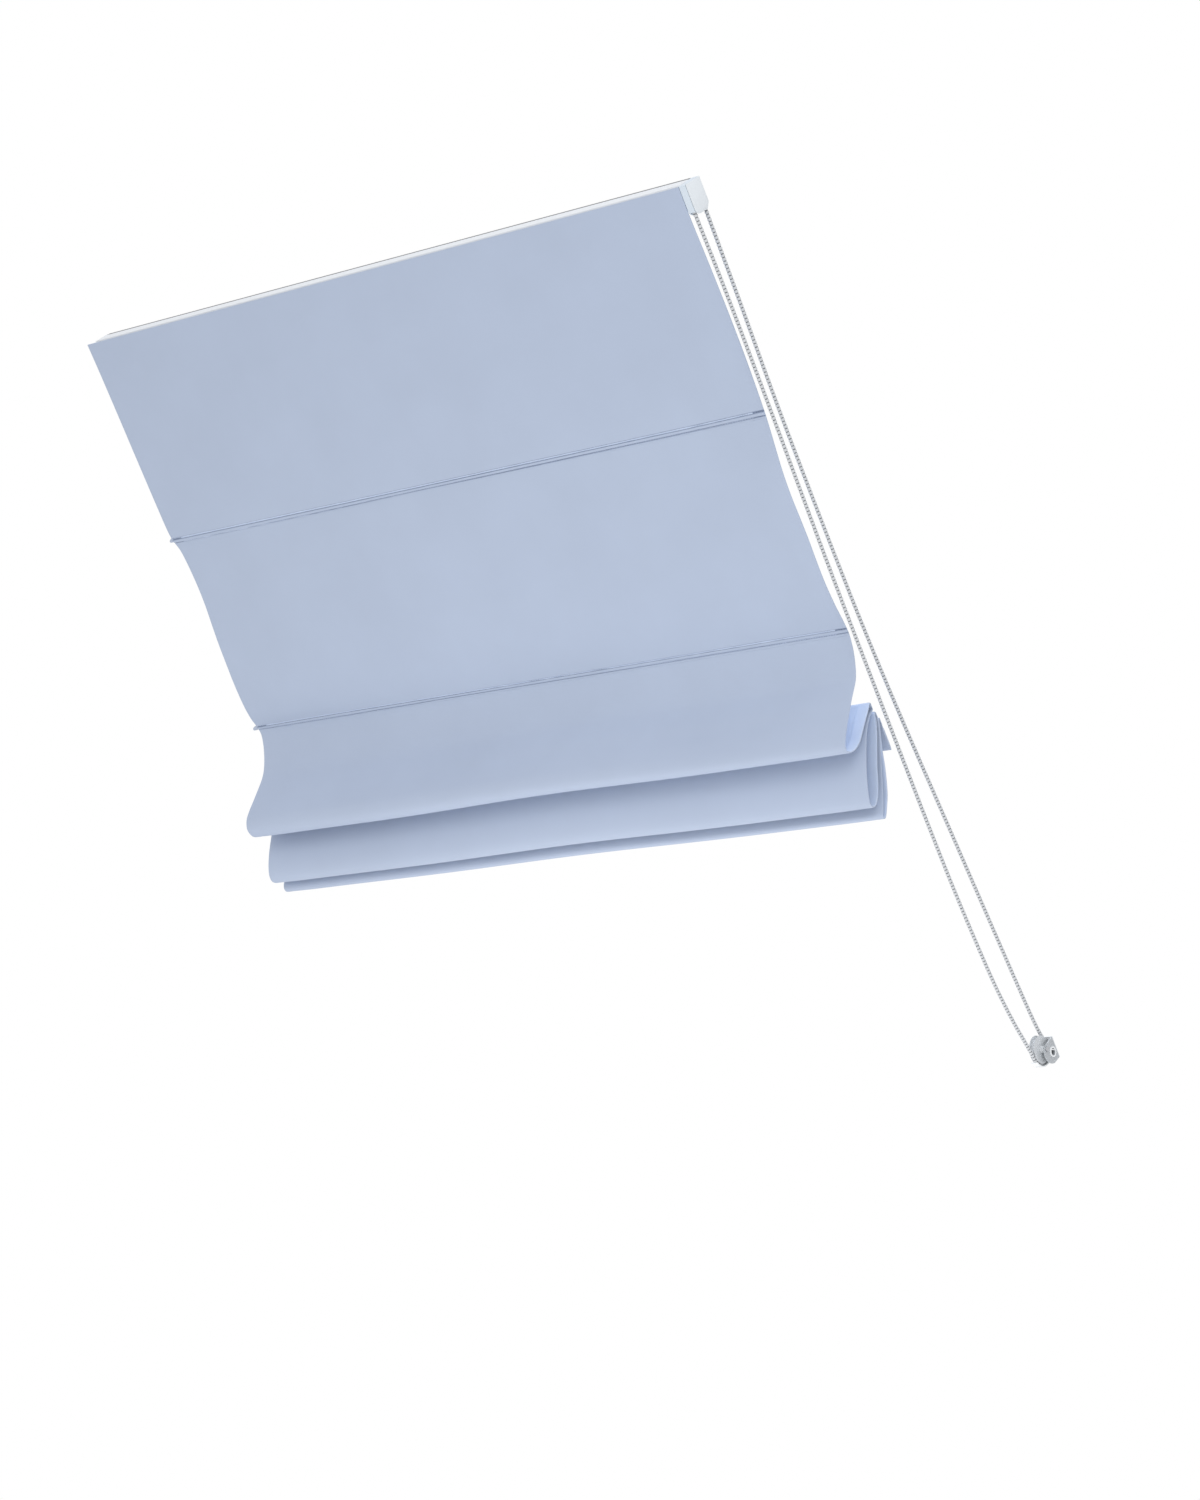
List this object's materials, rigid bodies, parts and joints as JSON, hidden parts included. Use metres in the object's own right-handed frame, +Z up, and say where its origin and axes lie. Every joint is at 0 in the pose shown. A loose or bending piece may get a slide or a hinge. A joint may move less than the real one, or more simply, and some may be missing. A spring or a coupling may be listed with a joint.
{
  "type": "roman blind for a roof window",
  "caption": "Folding cloth blind hung from a slim head rail on a sloping ceiling, with back rods, hanging folds, and a bead-chain drive with a wall tensioner.",
  "frame": {"origin": "middle of the head rail's back face, where it meets the sloping ceiling", "axes": "+X along the head rail towards the chain, +Z up, +Y into the roof; the ceiling and the blind slope at 56 degrees from the horizontal, going down and towards +Y"},
  "size_m": [0.957, 0.6352, 0.9195],
  "materials": {
    "cloth": "plain periwinkle-blue blackout cloth, matt",
    "rail_white": "satin white powder coat on aluminium",
    "plastic_white": "smooth white moulded plastic",
    "nylon": "natural nylon",
    "hook_tape": "white hook-and-loop tape",
    "aluminium": "plain extruded",
    "steel": "zinc plated",
    "fibreglass": "smooth drawn fibreglass rod",
    "clear_plastic": "clear moulded polycarbonate",
    "bead_plastic": "pale translucent moulded beads"
  },
  "bodies": {
    "rail_frame": {"head_rail": "rail_white", "rail_cover": "rail_white", "hook_tape": "hook_tape", "rail_screw_1": "steel", "rail_screw_2": "steel", "rail_screw_3": "steel", "rail_screw_4": "steel", "end_cap_left": "plastic_white", "shaft_bush": "nylon", "spool_cradle_1": "nylon", "spool_cradle_2": "nylon", "spool_cradle_3": "nylon", "chain_housing": "plastic_white", "housing_cover": "plastic_white", "clutch_spring": "steel", "tensioner_body": "clear_plastic", "tensioner_screw_1": "steel", "tensioner_screw_2": "steel", "tensioner_axle": "steel", "bead_chain": "bead_plastic", "fabric_head": "cloth"},
    "drive": {"drive_shaft": "aluminium", "cord_spool_1": "nylon", "cord_spool_2": "nylon", "cord_spool_3": "nylon", "chain_sprocket": "nylon"},
    "idler": {"tensioner_wheel": "clear_plastic"},
    "panel_1_upper": {"panel_1_upper": "cloth"},
    "panel_1_lower": {"panel_1_lower": "cloth"},
    "rod_set_1": {"rod_pocket_1": "cloth", "rod_1": "fibreglass", "rod_tip_1": "plastic_white"},
    "panel_2_upper": {"panel_2_upper": "cloth"},
    "panel_2_lower": {"panel_2_lower": "cloth"},
    "rod_set_2": {"rod_pocket_2": "cloth", "rod_2": "fibreglass", "rod_tip_2": "plastic_white"},
    "panel_3_front": {"panel_3_front": "cloth"},
    "panel_3_rear": {"panel_3_rear": "cloth"},
    "rod_set_3": {"rod_pocket_3": "cloth", "rod_3": "fibreglass", "rod_tip_3": "plastic_white"},
    "panel_4_front": {"panel_4_front": "cloth"},
    "panel_4_rear": {"panel_4_rear": "cloth"},
    "rod_set_4": {"rod_pocket_4": "cloth", "rod_4": "fibreglass", "rod_tip_4": "plastic_white"},
    "panel_5_front": {"panel_5_front": "cloth"},
    "panel_5_rear": {"panel_5_rear": "cloth"},
    "rod_set_5": {"rod_pocket_5": "cloth", "rod_5": "fibreglass", "rod_tip_5": "plastic_white", "hem": "cloth", "bottom_bar": "aluminium"}
  },
  "joints": [
    {"name": "drive_spin", "type": "hinge", "parent": "rail_frame", "child": "drive", "pos_m": [0, -0.01007, -0.00921], "axis": [1, 0, 0], "continuous": true},
    {"name": "idler_spin", "type": "hinge", "parent": "rail_frame", "child": "idler", "pos_m": [0.484, 0.57421, -0.88706], "axis": [1, 0, 0], "continuous": true},
    {"name": "fold_1_top", "type": "hinge", "parent": "rail_frame", "child": "panel_1_upper", "pos_m": [0, -0.01574, -0.02871], "axis": [-1, 0, 0], "range_deg": [0, 82]},
    {"name": "fold_1", "type": "hinge", "parent": "panel_1_upper", "child": "panel_1_lower", "pos_m": [0, 0.04956, -0.12338], "axis": [1, 0, 0], "range_deg": [0, 164]},
    {"name": "fold_1_bottom", "type": "hinge", "parent": "panel_1_lower", "child": "rod_set_1", "pos_m": [0, 0.11288, -0.21939], "axis": [-1, 0, 0], "range_deg": [0, 82]},
    {"name": "fold_2_top", "type": "hinge", "parent": "rod_set_1", "child": "panel_2_upper", "pos_m": [0, 0.11735, -0.22602], "axis": [-1, 0, 0], "range_deg": [0, 82]},
    {"name": "fold_2", "type": "hinge", "parent": "panel_2_upper", "child": "panel_2_lower", "pos_m": [0, 0.18964, -0.33105], "axis": [1, 0, 0], "range_deg": [0, 164]},
    {"name": "fold_2_bottom", "type": "hinge", "parent": "panel_2_lower", "child": "rod_set_2", "pos_m": [0, 0.25994, -0.43742], "axis": [-1, 0, 0], "range_deg": [0, 82]},
    {"name": "loop_3_top", "type": "hinge", "parent": "rod_set_2", "child": "panel_3_front", "pos_m": [0, 0.26442, -0.44406], "axis": [1, 0, 0], "range_deg": [0, 38.04]},
    {"name": "loop_3", "type": "hinge", "parent": "panel_3_front", "child": "panel_3_rear", "pos_m": [0, 0.25563, -0.56855], "axis": [-1, 0, 0], "range_deg": [0, 145.7]},
    {"name": "loop_3_bottom", "type": "hinge", "parent": "panel_3_rear", "child": "rod_set_3", "pos_m": [0, 0.29919, -0.51348], "axis": [1, 0, 0], "range_deg": [0, 107.66]},
    {"name": "loop_4_top", "type": "hinge", "parent": "rod_set_3", "child": "panel_4_front", "pos_m": [0, 0.30366, -0.52012], "axis": [1, 0, 0], "range_deg": [0, 37.22]},
    {"name": "loop_4", "type": "hinge", "parent": "panel_4_front", "child": "panel_4_rear", "pos_m": [0, 0.29761, -0.62757], "axis": [-1, 0, 0], "range_deg": [0, 177.06]},
    {"name": "loop_4_bottom", "type": "hinge", "parent": "panel_4_rear", "child": "rod_set_4", "pos_m": [0, 0.30894, -0.52258], "axis": [1, 0, 0], "range_deg": [0, 139.84]},
    {"name": "loop_5_top", "type": "hinge", "parent": "rod_set_4", "child": "panel_5_front", "pos_m": [0, 0.31342, -0.52922], "axis": [1, 0, 0], "range_deg": [0, 31.12]},
    {"name": "loop_5", "type": "hinge", "parent": "panel_5_front", "child": "panel_5_rear", "pos_m": [0, 0.31876, -0.6355], "axis": [-1, 0, 0], "range_deg": [0, 177.61]},
    {"name": "loop_5_bottom", "type": "hinge", "parent": "panel_5_rear", "child": "rod_set_5", "pos_m": [0, 0.31786, -0.53044], "axis": [1, 0, 0], "range_deg": [0, 146.49]}
  ],
  "couplings": [
    {"joint": "idler_spin", "follows": "drive_spin", "ratio": 0.67089},
    {"joint": "fold_1_top", "follows": "fold_1", "ratio": 0.5},
    {"joint": "fold_1_bottom", "follows": "fold_1", "ratio": 0.5},
    {"joint": "fold_2_top", "follows": "fold_2", "ratio": 0.5},
    {"joint": "fold_2_bottom", "follows": "fold_2", "ratio": 0.5},
    {"joint": "loop_3_top", "follows": "loop_3", "ratio": 0.26106},
    {"joint": "loop_3_bottom", "follows": "loop_3", "ratio": 0.73894},
    {"joint": "loop_4_top", "follows": "loop_4", "ratio": 0.21022},
    {"joint": "loop_4_bottom", "follows": "loop_4", "ratio": 0.78978},
    {"joint": "loop_5_top", "follows": "loop_5", "ratio": 0.17522},
    {"joint": "loop_5_bottom", "follows": "loop_5", "ratio": 0.82478}
  ]
}
